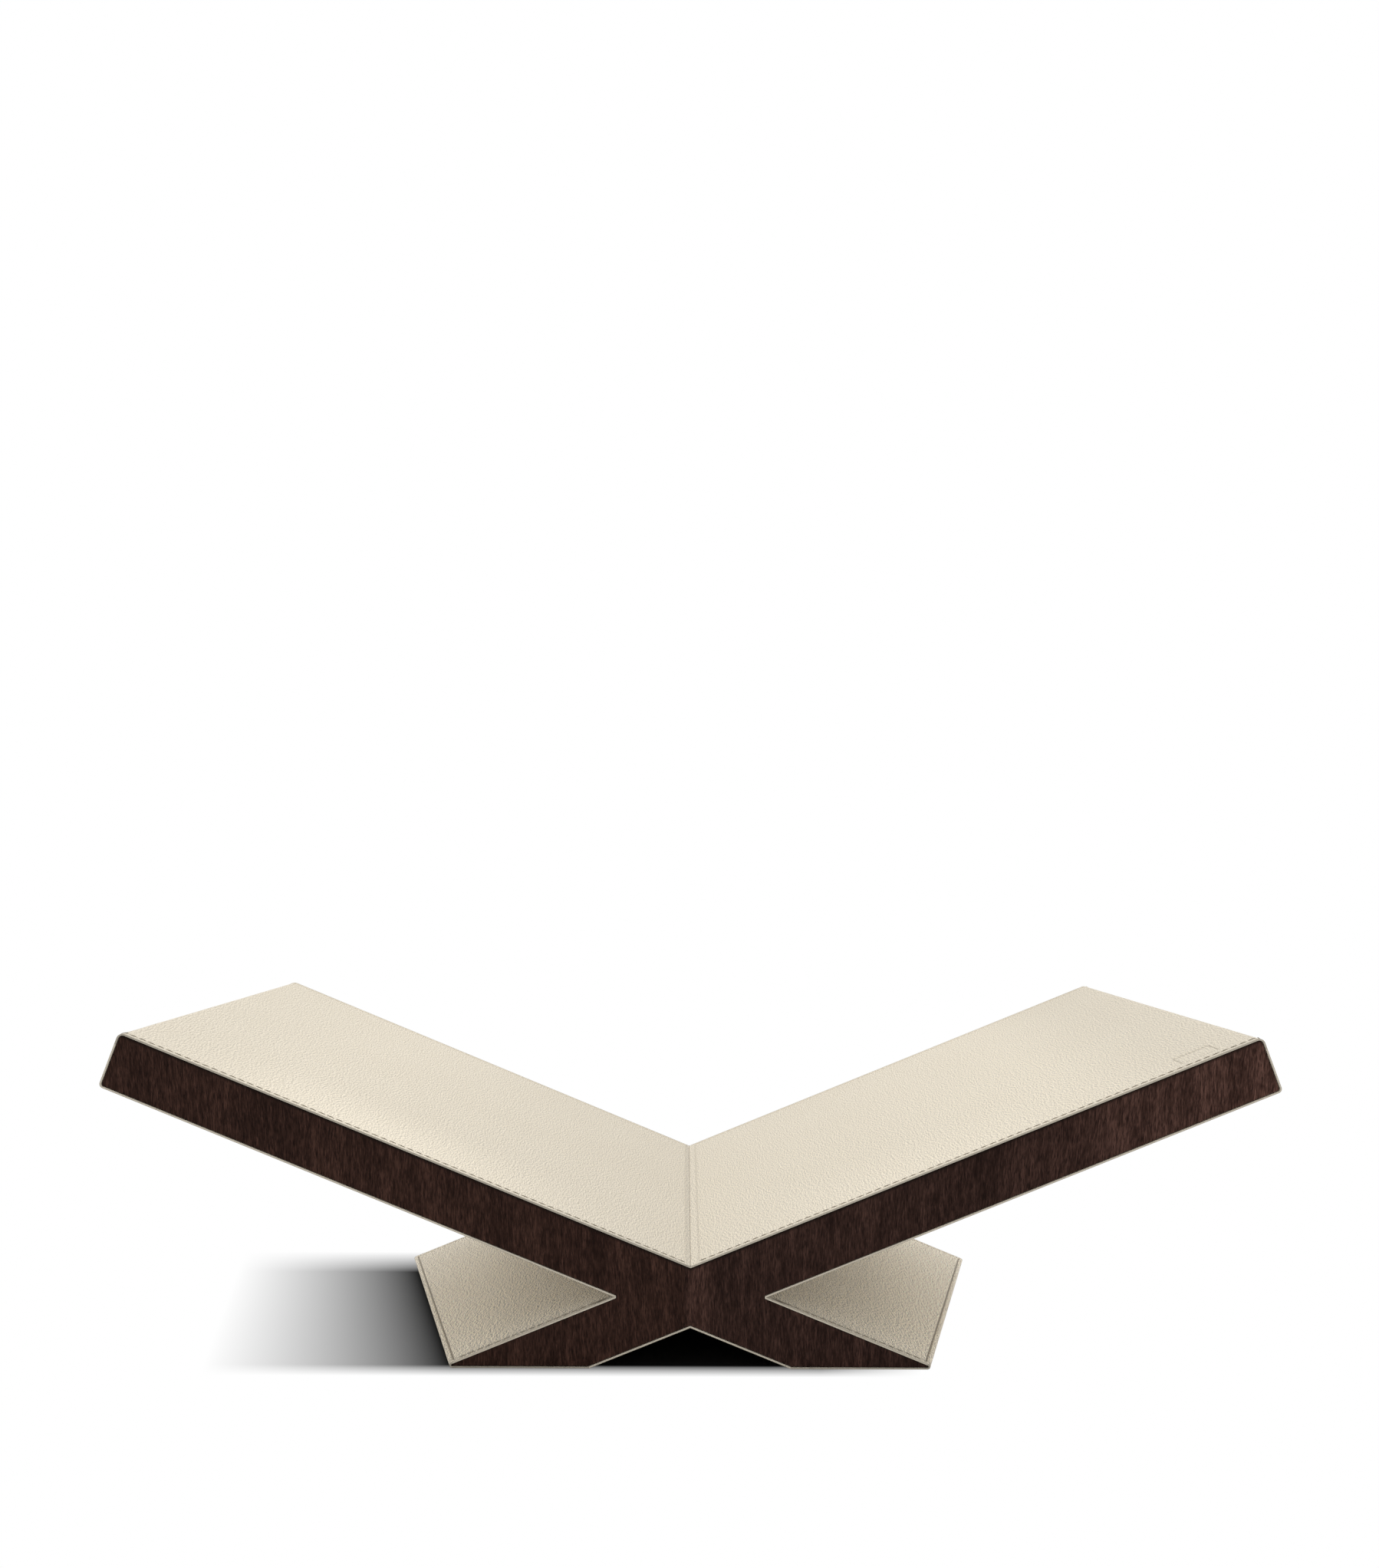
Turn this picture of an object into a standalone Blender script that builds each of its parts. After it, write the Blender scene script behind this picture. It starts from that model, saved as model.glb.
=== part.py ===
"""Book stand: two flat boards halved into each other to make a low, wide X.

The upper half of the X is the V in which an open book lies, the lower half is the pair of legs.
The boards are faced front and back with dark walnut and covered in thin cream leather.

Everything is drawn in a section of the stand: across is its width and up its height, measured in
the plane of the front face. The section is carried back along the fold, the line in which the
two reading surfaces meet. The legs grow longer towards the back, because the whole X leans
towards the reader while its feet are cut level, so each outline is a function of its depth.
"""

from math import cos, radians, sin, tan

import bmesh
import bpy
from mathutils import Vector

# Boards
BOARD_THICKNESS = 0.0200
BOARD_SLOPE = radians(22.65)
ARM_REACH = 0.2289
CROSSING_HEIGHT = 0.0276
STAND_DEPTH = 0.2100
READER_PITCH = radians(6.46)
HALVING_CLEARANCE = 0.0003

# Corners of the wood under the leather; the facings' notches between arm and leg end bluntly
ARM_TOP_RADIUS = 0.0015
ARM_BOTTOM_RADIUS = 0.0007
TOE_RADIUS = 0.0002
NOTCH_WIDTH = 0.0012
CORNER_STEPS = 8

# Walnut facings
FACING_THICKNESS = 0.0030
SEAM_OFFSET = -0.0023
SEAM_GAP = 0.0003

# Leather
LEATHER_THICKNESS = 0.0006
LEATHER_LIP = 0.00035
LEATHER_JOINT = 0.0003
GLUE_LINE = 0.0003
LEATHER_COVER = GLUE_LINE + LEATHER_THICKNESS

# Cutters run this far past what they cut
OVERRUN = 0.0050

# Finishes: colour and roughness
WALNUT = (0.031, 0.017, 0.013, 1.0), 0.45
CORE_WOOD = (0.30, 0.19, 0.11, 1.0), 0.70
CREAM_LEATHER = (0.77, 0.70, 0.58, 1.0), 0.60
SMOOTH_ANGLE = radians(30)

LEFT, RIGHT = -1, 1
SIDE_NAMES = {LEFT: "left", RIGHT: "right"}


def meet(first, second):
    """The point where two lines cross; a line is a point on it and its direction."""
    (start, along), (other, across) = first, second
    return start + along * ((other - start).cross(across) / along.cross(across))


def face_line(offset, above, rising):
    """A face of a board, moved out by offset: above or below the crossing, rising or falling."""
    rise = (BOARD_THICKNESS / 2 + offset) / cos(BOARD_SLOPE)
    start = Vector((0, CROSSING_HEIGHT + (rise if above else -rise)))
    slope = BOARD_SLOPE if rising else -BOARD_SLOPE
    return start, Vector((cos(slope), sin(slope)))


def end_line(offset):
    """The end of the right arm, cut square and moved out by offset."""
    along = Vector((cos(BOARD_SLOPE), sin(BOARD_SLOPE)))
    middle = Vector((0, CROSSING_HEIGHT)) + (ARM_REACH + offset) * along
    return middle, Vector((-along.y, along.x))


def sole_line(offset, depth):
    """The level underside of a foot where the section at this depth cuts it."""
    height = (LEATHER_COVER - offset) / cos(READER_PITCH) - depth * tan(READER_PITCH)
    return Vector((0, height)), Vector((1, 0))


def level_line(height):
    """A line across the section at this height."""
    return Vector((0, height)), Vector((1, 0))


def upright_line(across):
    """A line up the section at this distance from the middle."""
    return Vector((across, 0)), Vector((0, 1))


def notch_line(offset):
    """The blunt end of the right notch, where it is NOTCH_WIDTH high, moved out by offset."""
    height = BOARD_THICKNESS / 2 / cos(BOARD_SLOPE) + NOTCH_WIDTH / 2
    return upright_line(height / tan(BOARD_SLOPE) + offset)


def heel_line(depth, shift):
    """The mitre at the inner corner of the right foot, moved outwards by shift."""
    inner = meet(face_line(0, False, False), sole_line(0, depth))
    outer = meet(face_line(LEATHER_COVER, False, False), sole_line(LEATHER_COVER, depth))
    along = (outer - inner).normalized()
    return inner + shift * Vector((-along.y, along.x)), along


def section_corners(offset, depth):
    """Corners of the X right of its middle, moved out by offset: each is a point and a radius."""
    arm_top = face_line(offset, True, True)
    arm_underside = face_line(offset, False, True)
    leg_top = face_line(offset, True, False)
    leg_underside = face_line(offset, False, False)
    end = end_line(offset)
    sole = sole_line(offset, depth)
    notch = notch_line(offset)
    return {
        "valley": (arm_top[0], 0),
        "arm_top": (meet(arm_top, end), ARM_TOP_RADIUS + offset),
        "arm_bottom": (meet(arm_underside, end), ARM_BOTTOM_RADIUS + offset),
        "notch_top": (meet(arm_underside, notch), 0),
        "notch_bottom": (meet(leg_top, notch), 0),
        "toe": (meet(leg_top, sole), TOE_RADIUS + offset),
        "heel": (meet(leg_underside, sole), 0),
        "apex": (leg_underside[0], 0),
    }


def mirrored(corners):
    """The same corners on the left of the middle."""
    return [(Vector((-point.x, point.y)), radius) for point, radius in corners]


def rounded(corners):
    """Points of a closed outline whose corners are turned by arcs of their own radius."""
    points = []
    for i, (corner, radius) in enumerate(corners):
        if radius == 0:
            points.append(corner)
            continue
        back = (corners[i - 1][0] - corner).normalized()
        ahead = (corners[(i + 1) % len(corners)][0] - corner).normalized()
        half_angle = back.angle(ahead) / 2
        middle = corner + (back + ahead).normalized() * (radius / sin(half_angle))
        first = corner + back * (radius / tan(half_angle)) - middle
        last = corner + ahead * (radius / tan(half_angle)) - middle
        for step in range(CORNER_STEPS + 1):
            points.append(middle + radius * first.slerp(last, step / CORNER_STEPS))
    return points


def crossed_outline(depth):
    """The wood's whole X at this depth."""
    corners = section_corners(0, depth)
    names = ("arm_top", "arm_bottom", "notch_top", "notch_bottom", "toe", "heel")
    right = [corners[name] for name in names]
    return rounded([corners["valley"], *right, corners["apex"], *mirrored(reversed(right))])


def board_outline(side, offset, depth):
    """One board from its arm on this side, through the crossing, to its leg on the other."""
    corners = section_corners(offset, depth)
    arm = [corners["arm_top"], corners["arm_bottom"]]
    leg = mirrored([corners["heel"], corners["toe"]])
    return rounded(arm + leg if side == RIGHT else mirrored(arm + leg))


def skin_outline(side, path, depth):
    """A leather skin in section: its outer path, and back along its glued face."""
    corners = path(LEATHER_COVER, depth) + path(GLUE_LINE, depth)[::-1]
    return rounded(corners if side == RIGHT else mirrored(corners))


def notch_end(face, offset, height):
    """Where a skin ends in the notch: its faces meet the joint at this height above the crossing.

    A face close to the wood comes to the notch's blunt end first and turns along it to the joint.
    """
    joint = level_line(CROSSING_HEIGHT + height)
    blunt = notch_line(offset)
    tip = meet(face, joint)
    if blunt[0].x < tip.x:
        return [(tip, 0)]
    return [(meet(face, blunt), 0), (meet(joint, blunt), 0)]


def arm_path(offset, depth):
    """From the fold up the reading surface, over the arm's end and back to the notch."""
    corners = section_corners(offset, depth)
    fold = meet(face_line(offset, True, True), upright_line(LEATHER_JOINT / 2))
    notch = notch_end(face_line(offset, False, True), offset, LEATHER_JOINT / 2)
    return [(fold, 0), corners["arm_top"], corners["arm_bottom"], *notch]


def leg_path(offset, depth):
    """From the notch down the leg, round the toe and back under the foot."""
    corners = section_corners(offset, depth)
    notch = notch_end(face_line(offset, True, False), offset, -LEATHER_JOINT / 2)
    heel = meet(sole_line(offset, depth), heel_line(depth, LEATHER_JOINT / 2))
    return [*reversed(notch), corners["toe"], (heel, 0)]


def under_path(offset, depth):
    """From the foot's inner corner up the underside to the middle."""
    heel = meet(face_line(offset, False, False), heel_line(depth, -LEATHER_JOINT / 2))
    apex = meet(face_line(offset, False, False), upright_line(LEATHER_JOINT / 2))
    return [(heel, 0), (apex, 0)]


def finish(name, colour, roughness):
    """A plain surface of one colour and roughness."""
    material = bpy.data.materials.new(name)
    material.use_nodes = True
    shader = material.node_tree.nodes["Principled BSDF"]
    shader.inputs["Base Color"].default_value = colour
    shader.inputs["Roughness"].default_value = roughness
    shader.inputs["Metallic"].default_value = 0
    material.diffuse_color = colour
    return material


def loft_mesh(outline_at, front, back):
    """A closed solid between the outlines at two depths, which have as many points each."""
    solid = bmesh.new()
    rings = []
    for depth in (front, back):
        rings.append([solid.verts.new((point.x, depth, point.y)) for point in outline_at(depth)])
    count = len(rings[0])
    for i in range(count):
        j = (i + 1) % count
        solid.faces.new((rings[0][i], rings[0][j], rings[1][j], rings[1][i]))
    solid.faces.new(rings[0])
    solid.faces.new(rings[1])
    bmesh.ops.recalc_face_normals(solid, faces=solid.faces)
    return solid


def add_piece(name, solid, material, frame):
    """Put a solid into the scene as one named piece of the stand."""
    mesh = bpy.data.meshes.new(name)
    solid.to_mesh(mesh)
    solid.free()
    mesh.materials.append(material)
    mesh.shade_smooth()
    mesh.set_sharp_from_angle(angle=SMOOTH_ANGLE)
    piece = bpy.data.objects.new(name, mesh)
    bpy.context.collection.objects.link(piece)
    piece.parent = frame
    return piece


def add_boards(frame):
    """The two boards, each slotted to half its depth for the other one."""
    front = FACING_THICKNESS + GLUE_LINE
    back = STAND_DEPTH - front
    middle = STAND_DEPTH / 2
    slots = {
        LEFT: (front - OVERRUN, middle + HALVING_CLEARANCE / 2),
        RIGHT: (middle - HALVING_CLEARANCE / 2, back + OVERRUN),
    }
    for side, (slot_front, slot_back) in slots.items():
        name = SIDE_NAMES[side] + "_arm_board"
        solid = loft_mesh(lambda depth: board_outline(side, 0, depth), front, back)
        board = add_piece(name, solid, finish(name, *CORE_WOOD), frame)
        slot = loft_mesh(
            lambda depth: board_outline(-side, HALVING_CLEARANCE, depth), slot_front, slot_back
        )
        cutter = add_piece(name + "_slot", slot, None, frame)
        cutter.hide_render = True
        cutter.display_type = "WIRE"
        cut = board.modifiers.new("halving slot", "BOOLEAN")
        cut.operation = "DIFFERENCE"
        cut.solver = "EXACT"
        cut.object = cutter


def add_facings(frame):
    """The walnut faces, front and back, each in two leaves that meet at an upright seam."""
    depths = {
        "front": (0, FACING_THICKNESS),
        "back": (STAND_DEPTH - FACING_THICKNESS, STAND_DEPTH),
    }
    for place, (front, back) in depths.items():
        for side, side_name in SIDE_NAMES.items():
            solid = loft_mesh(crossed_outline, front, back)
            everything = solid.verts[:] + solid.edges[:] + solid.faces[:]
            seam = SEAM_OFFSET + side * SEAM_GAP / 2
            bmesh.ops.bisect_plane(
                solid, geom=everything, plane_co=(seam, 0, 0), plane_no=(side, 0, 0),
                clear_inner=True,
            )
            open_edges = [edge for edge in solid.edges if edge.is_boundary]
            bmesh.ops.edgeloop_fill(solid, edges=open_edges)
            bmesh.ops.recalc_face_normals(solid, faces=solid.faces)
            name = f"{place}_facing_{side_name}"
            add_piece(name, solid, finish(name, *WALNUT), frame)


def add_leathers(frame):
    """The leather skins, a little proud of the walnut faces, front and back."""
    paths = {"arm_leather": arm_path, "leg_leather": leg_path, "under_leather": under_path}
    for piece_name, path in paths.items():
        for side, side_name in SIDE_NAMES.items():
            solid = loft_mesh(
                lambda depth: skin_outline(side, path, depth),
                -LEATHER_LIP, STAND_DEPTH + LEATHER_LIP,
            )
            name = f"{piece_name}_{side_name}"
            add_piece(name, solid, finish(name, *CREAM_LEATHER), frame)


def place_frame(frame):
    """Pitch the fold up towards the back and centre the stand over the origin."""
    front_tip = max(p.y for p in skin_outline(RIGHT, arm_path, -LEATHER_LIP))
    back_depth = STAND_DEPTH + LEATHER_LIP
    back_sole = min(p.y for p in skin_outline(RIGHT, leg_path, back_depth))
    front = -LEATHER_LIP * cos(READER_PITCH) - front_tip * sin(READER_PITCH)
    back = back_depth * cos(READER_PITCH) - back_sole * sin(READER_PITCH)
    frame.rotation_euler.x = READER_PITCH
    frame.location.y = -(front + back) / 2


def build():
    """Clear the scene and add the whole stand."""
    for old in list(bpy.data.objects):
        bpy.data.objects.remove(old, do_unlink=True)
    frame = bpy.data.objects.new("stand_frame", None)
    bpy.context.collection.objects.link(frame)
    add_boards(frame)
    add_facings(frame)
    add_leathers(frame)
    place_frame(frame)


build()
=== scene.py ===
"""Looks of the book stand: grained cream leather with sewn edges over dark walnut with upright grain.

Every new piece is worked out in the section of the stand, as the solids are: across is the width and
up the height, both in the plane of the front face, and depth runs back along the fold. A hide is
unrolled along its path, so that its grain and its sewing lie by distances on the leather.
"""

from math import cos, pi, radians, sin, tan

import bpy
import numpy as np
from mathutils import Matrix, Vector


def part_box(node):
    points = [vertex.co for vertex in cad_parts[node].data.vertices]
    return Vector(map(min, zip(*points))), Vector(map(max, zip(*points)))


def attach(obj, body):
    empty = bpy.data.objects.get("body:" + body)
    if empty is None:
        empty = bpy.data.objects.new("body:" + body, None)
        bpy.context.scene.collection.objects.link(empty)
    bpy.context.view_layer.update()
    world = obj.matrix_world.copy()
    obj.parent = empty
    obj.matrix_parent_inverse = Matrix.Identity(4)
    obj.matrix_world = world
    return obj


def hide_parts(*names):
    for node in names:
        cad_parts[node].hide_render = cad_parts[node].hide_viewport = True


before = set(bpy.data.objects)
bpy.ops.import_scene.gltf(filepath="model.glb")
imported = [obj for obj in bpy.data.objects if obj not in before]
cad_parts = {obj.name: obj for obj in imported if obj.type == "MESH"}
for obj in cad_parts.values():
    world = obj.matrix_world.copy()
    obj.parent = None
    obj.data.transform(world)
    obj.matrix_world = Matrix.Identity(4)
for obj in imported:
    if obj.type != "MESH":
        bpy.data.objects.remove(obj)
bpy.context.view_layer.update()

LEFT, RIGHT = -1, 1
SIDE_NAMES = {LEFT: "left", RIGHT: "right"}

# Section of the stand
BOARD_THICKNESS = 0.0200
BOARD_SLOPE = radians(22.65)
ARM_REACH = 0.2289
CROSSING_HEIGHT = 0.0276
STAND_DEPTH = 0.2100
READER_PITCH = radians(6.46)
FACING_THICKNESS = 0.0030
ARM_TOP_RADIUS = 0.0015
ARM_BOTTOM_RADIUS = 0.0007
TOE_RADIUS = 0.0002
NOTCH_WIDTH = 0.0012
CORNER_STEPS = 8
SMOOTH_ANGLE = radians(40)

# Leather
LEATHER_THICKNESS = 0.0006
LEATHER_LIP = 0.00035
LEATHER_JOINT = 0.00003
GLUE_LINE = 0.0003
LEATHER_COVER = GLUE_LINE + LEATHER_THICKNESS
CUT_EDGE_RADIUS = 0.00015
CUT_EDGE_STEPS = 4
JOINT_ROLL = 0.00010
JOINT_ROLL_SHARES = (0, 0.15, 0.35, 0.65, 1, 1.5)
STATION_SPACING = 0.00047
LOOSE_SPACING = 0.0050
SOLE_STEPS = 12
WAVE_LENGTH = 0.0060
WAVE_DEPTH = 0.00004
SLOW_BEND, SLOW_RATIO = 2.1, 0.7
QUICK_BEND, QUICK_RATIO, CROSS_RATIO = 1.7, 1.3, 0.6
GRAIN_STARTS = {LEFT: 0.4, RIGHT: 0.9}

# Sewn rows
ROW_INSET = 0.0028
FOLD_ROW_PLACES = {LEFT: 0.0019, RIGHT: 0.0033}
TOE_ROW_INSET = 0.0013
NOTCH_ROW_END = 0.0040
DEPTH_ROW_LENGTH = STAND_DEPTH + 2 * LEATHER_LIP - 2 * ROW_INSET
STITCH_PITCH = 0.0035
STITCH_LENGTH = 0.0028
THREAD_RADIUS = 0.00020
THREAD_SIDES = 6
THREAD_RINGS = 5
THREAD_TAPER = 0.75
THREAD_SMOOTH_ANGLE = radians(70)
THREAD_DIVE = 0.00014
EDGE_THREAD_SINK = 0.00002
FOLD_THREAD_SINK = 0.00022
TOE_THREAD_SINK = 0.00034
EDGE_SLOT_DEPTH = 0.00012
FOLD_GROOVE_DEPTH = 0.00007
TOE_GROOVE_DEPTH = 0.00030
PINCH_DEPTH = 0.00040
PINCH_PLACE = 0.0055
PINCH_REACH = 0.0055
PINCH_WIDTH = 0.0018
SLOT_REACH = 0.00070
SLOT_SHARES = np.linspace(-1, 1, 9)
BULGE_REACH = 0.00070
BULGE_SHARE = 0.50
HOLLOW_DEPTH = 0.00004
HOLLOW_REACH = 0.0016
HOLLOW_SHARES = np.array([-1.2, -0.75, 0.75, 1.2])

# Wax in the seams of the walnut
SEAM_OFFSET = -0.0023
SEAM_GAP = 0.0003
SEAM_HOLLOW = 0.00004
SEAM_STEPS = 5

# Blank stamped panel near the front corner of the right arm
PANEL_START = 0.1965
PANEL_LENGTH = 0.0148
PANEL_INSET = 0.0064 + LEATHER_LIP
PANEL_WIDTH = 0.0104
PANEL_DEPTH = 0.00010
PANEL_SLOPE = 0.00080
PANEL_LINE = 0.00024
PANEL_SIDE = np.linspace(0, PANEL_SLOPE, 4)

# Painted light and shade on the leather: the place, reach and gain of a painted sheen patch at
# each arm's front, and painted shades elsewhere
PAINTED_SHEEN_PATCHES = {LEFT: (0.118, 0.110, 0.13), RIGHT: (0.085, 0.080, 0.06)}
SHEEN_PATCH_DEPTH = 0.060
END_SHADES = {LEFT: 0.03, RIGHT: 0.10}
END_SHADE_START = 0.150
END_SHADE_REACH = 0.060
VALLEY_SHADES = {LEFT: 0.12, RIGHT: 0.05}
VALLEY_REACH = 0.20
FOLD_SHADES = {LEFT: 0.10, RIGHT: 0.0}
FOLD_SHADE_REACH = 0.0006
# Cut edge factors: painted shade by the left reading surface and under the feet, painted light below
# the arms and over the feet
ARM_CUT_SHADE_FACTORS = {LEFT: 0.85, RIGHT: 1.0}
LOW_CUT_LIGHT_FACTOR = 1.25
SOLE_CUT_SHADE_FACTORS = {LEFT: 0.70, RIGHT: 0.90}
# Painted shade round a leg's front row and towards the notch, painted light towards its toe
LEG_MARGIN_SHADE = 0.22
LEG_MARGIN_REACH = 0.0032
LEG_DEEP_SHADE = 0.24
LEG_DEEP_REACH = 0.075
LEG_END_PAINTED_LIGHTS = {LEFT: 0.08, RIGHT: 0.15}
LEG_END_START = 0.045
LEG_END_REACH = 0.050

# Finishes: scales are waves per metre and reliefs are metres. A span is the part of a noise that
# counts, and a pair of roughnesses goes with its two ends
NOISE_SPAN = (0.35, 0.65)
ARM_GRAIN_SCALE = (1340, 470, 1340)
LEG_GRAIN_SCALE = (1000, 800, 1000)
FINE_GRAIN_SCALE = (2100, 900, 2100)
FINE_GRAIN_SHARE = 0.35
COARSE_CRINKLE = 0.55
FINE_CRINKLE = 0.6
ARM_RELIEF = 0.00050
LEG_RELIEF = 0.00095
# Painted light and shade on the grain: the step over which a ripple's fall is taken, its reach and its
# strength on arms and legs
GRAIN_STEP = (0.00032, 0.00012, 0)
GRAIN_SHADE_REACH = 0.14
ARM_GRAIN_SHADE = 0.28
LEG_GRAIN_SHADE = 0.80
LEATHER_CLOUD_SCALE = (22, 22, 22)
LEATHER_PALE = (0.815, 0.740, 0.606, 1)
LEATHER_WARM = (0.780, 0.704, 0.570, 1)
# Painted shade in sewn slots, grooves and the panel's outline, by how deep they are sunk
LEATHER_SUNK_SHADE = (0.23, 0.19, 0.14, 1)
SUNK_SPAN = (0.08, 1.0)
SUNK_SHARE = 0.8
LEATHER_CUT = (0.57, 0.515, 0.42, 1)
LEATHER_CUT_LINE = (0.36, 0.32, 0.25, 1)
CUT_FADE = (0.00045, 0.00140)
CUT_LINE_PLACE = -0.00012
CUT_LINE_REACH = 0.00014
LEATHER_ROUGHNESS = (0.66, 0.50)
LEATHER_SPECULAR = 0.30
THREAD_TWIST_SCALE = (2600, 2600, 2600)
THREAD_RELIEF = 0.00005
THREAD_DARK = (0.185, 0.158, 0.118, 1)
THREAD_LIGHT = (0.330, 0.285, 0.215, 1)
THREAD_ROUGHNESS = 0.55
WALNUT_SEED_STEP = 1.7
WALNUT_LEAN_SCALE = (9, 0, 3)
WALNUT_LEAN_SPAN = (0.25, 0.75)
WALNUT_LEAN = 0.05
WALNUT_FIBRE_SCALE = (2100, 2100, 110)
FIBRE_CRINKLE = 0.6
WALNUT_FIBRE_SHARE = 0.52
WALNUT_BAND_SCALE = (520, 520, 8)
BAND_CRINKLE = 0.55
WALNUT_BAND_SHARE = 0.27
WALNUT_FIGURE_SCALE = (90, 90, 3)
WALNUT_FIGURE_SHARE = 0.21
WALNUT_PORE_SCALE = (2400, 2400, 220)
WALNUT_PORE_SPAN = (0.56, 0.66)
WALNUT_PORE_SHARE = 0.60
WALNUT_RELIEF = 0.00005
WALNUT_RELIEF_SHARE = 0.5
WALNUT_PORE = (0.0070, 0.0028, 0.0018, 1)
WALNUT_DARK, WALNUT_DARK_STOP = (0.0155, 0.0064, 0.0040, 1), 0.40
WALNUT_MIDDLE, WALNUT_MIDDLE_STOP = (0.0335, 0.0152, 0.0100, 1), 0.50
WALNUT_LIGHT, WALNUT_LIGHT_STOP = (0.077, 0.0365, 0.0245, 1), 0.625
# Painted shadow on the front walnut under the leather's lip, and where it starts
WALNUT_LIP_SHADOW = (0.010, 0.0048, 0.0034, 1)
LIP_SHADOW_START = 0.0088
WALNUT_ROUGHNESS_SPAN = (0.3, 0.7)
WALNUT_ROUGHNESS = (0.56, 0.44)
WALNUT_SPECULAR = 0.05
CORE_SCALE = (60, 700, 700)
CORE_DARK = (0.25, 0.155, 0.085, 1)
CORE_LIGHT = (0.36, 0.235, 0.140, 1)
CORE_ROUGHNESS = 0.65

# Each facing's tone, and the place, reach and gain of a lighter stripe in it
FACINGS = {
    "front_facing_left": ((1.0, 1.01, 1.09, 1), (-0.150, 0.020, -0.15)),
    "front_facing_right": ((1.0, 1.06, 1.22, 1), (0.0035, 0.0075, 0.45)),
    "back_facing_left": ((1.0, 1.0, 1.0, 1), (-0.090, 0.015, 0.20)),
    "back_facing_right": ((1.0, 1.0, 1.05, 1), (0.120, 0.020, 0.20)),
}
# Lighter outer ends of facings; at the front right one partly a painted sheen
LIGHT_END_START = 0.120
LIGHT_END_REACH = 0.090
LIGHT_END_GAINS = {"front_facing_right": 1.10, "back_facing_left": 0.2}

# Stage: a pale floor with a painted shadow of the stand to its left, light from above and the
# photograph's view
WHITE = (1, 1, 1, 1)
FLOOR_COLOUR = (0.60, 0.60, 0.60, 1)
# Painted shadow: the floor's colour where it is seen and no white comes in
FLOOR_PAINTED_SHADOW = (0.010, 0.010, 0.010, 1)
FLOOR_SIZE = 8.0
FLOOR_DROP = 0.0002
LEG_LINE_HEIGHT = CROSSING_HEIGHT + (BOARD_THICKNESS / 2 + LEATHER_COVER) / cos(BOARD_SLOPE)
TOE_PLACE = LEG_LINE_HEIGHT / tan(BOARD_SLOPE)
TOE_SPREAD = sin(READER_PITCH) / tan(BOARD_SLOPE)
SHADOW_REACHES = {LEFT: (-0.005, 0.088), RIGHT: (-0.045, -0.007)}
SHADOW_FRONT = (-0.094, -0.109)
SHADOW_BACK = (0.082, 0.138)
HORIZON_LIGHT = 0.55
GLOW_LIGHT = 1.12
ZENITH_LIGHT = 0.72
GLOW_HEIGHTS = (0.35, 0.75)
OVERHEAD_PLACE = (0.10, -0.10, 1.30)
OVERHEAD_SIZE = 0.6
OVERHEAD_POWER = 3.0
PHOTO_SIZE = (1798, 2044)
FOCAL_PIXELS = 1694.8
HORIZON_PIXEL = 1322.2
CAMERA_PLACE = (-0.00233, -0.5852, 0.1326)
CAMERA_YAW = radians(0.182)
CAMERA_ROLL = radians(0.254)
SENSOR = 36.0

# The fold starts here: worked out from the front walnut face of the frame
FACING_LOW, FACING_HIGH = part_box("front_facing_right")
TIP_HEIGHT = (FACING_HIGH.z - FACING_THICKNESS * sin(READER_PITCH)) / cos(READER_PITCH)
FOLD_START_Y = FACING_LOW.y + TIP_HEIGHT * sin(READER_PITCH)


def unit(vectors):
    """Vectors of length one."""
    return vectors / np.linalg.norm(vectors, axis=-1, keepdims=True)


def left_of(vectors):
    """Vectors turned a quarter to the left."""
    return np.stack([-vectors[..., 1], vectors[..., 0]], axis=-1)


def cross(first, second):
    """First across times second up, less first up times second across."""
    return first[..., 0] * second[..., 1] - first[..., 1] * second[..., 0]


def meet(first, second):
    """The point where two lines cross; a line is a point on it and its direction."""
    (start, along), (other, across) = first, second
    share = cross(other - start, across) / cross(along, across)
    return start + along * share[..., None]


def face_line(offset, above, rising):
    """A face of a board, moved out by offset: above or below the crossing, rising or falling."""
    rise = (BOARD_THICKNESS / 2 + offset) / cos(BOARD_SLOPE)
    slope = BOARD_SLOPE if rising else -BOARD_SLOPE
    start = np.array([0, CROSSING_HEIGHT + (rise if above else -rise)])
    return start, np.array([cos(slope), sin(slope)])


def end_line(offset):
    """The square end of the right arm, moved out by offset."""
    along = np.array([cos(BOARD_SLOPE), sin(BOARD_SLOPE)])
    return np.array([0, CROSSING_HEIGHT]) + (ARM_REACH + offset) * along, left_of(along)


def sole_line(offset, depth):
    """The level underside of a foot where the section at each depth cuts it."""
    height = (LEATHER_COVER - offset) / cos(READER_PITCH) - depth * tan(READER_PITCH)
    return np.stack([0 * depth, height], axis=-1), np.array([1, 0])


def level_line(height):
    """A line across the section at this height."""
    return np.array([0, height]), np.array([1, 0])


def upright_line(across):
    """A line up the section at this distance from the middle."""
    return np.array([across, 0]), np.array([0, 1])


def notch_line(offset):
    """The blunt end of the right notch, where it is NOTCH_WIDTH high, moved out by offset."""
    height = BOARD_THICKNESS / 2 / cos(BOARD_SLOPE) + NOTCH_WIDTH / 2
    return upright_line(height / tan(BOARD_SLOPE) + offset)


def notch_corner(face, offset, height):
    """Where a face ends in the right notch: at this height over the crossing, or at the blunt end."""
    tip = meet(face, level_line(CROSSING_HEIGHT + height))
    blunt = meet(face, notch_line(offset))
    return tip if tip[0] > blunt[0] else blunt


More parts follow.
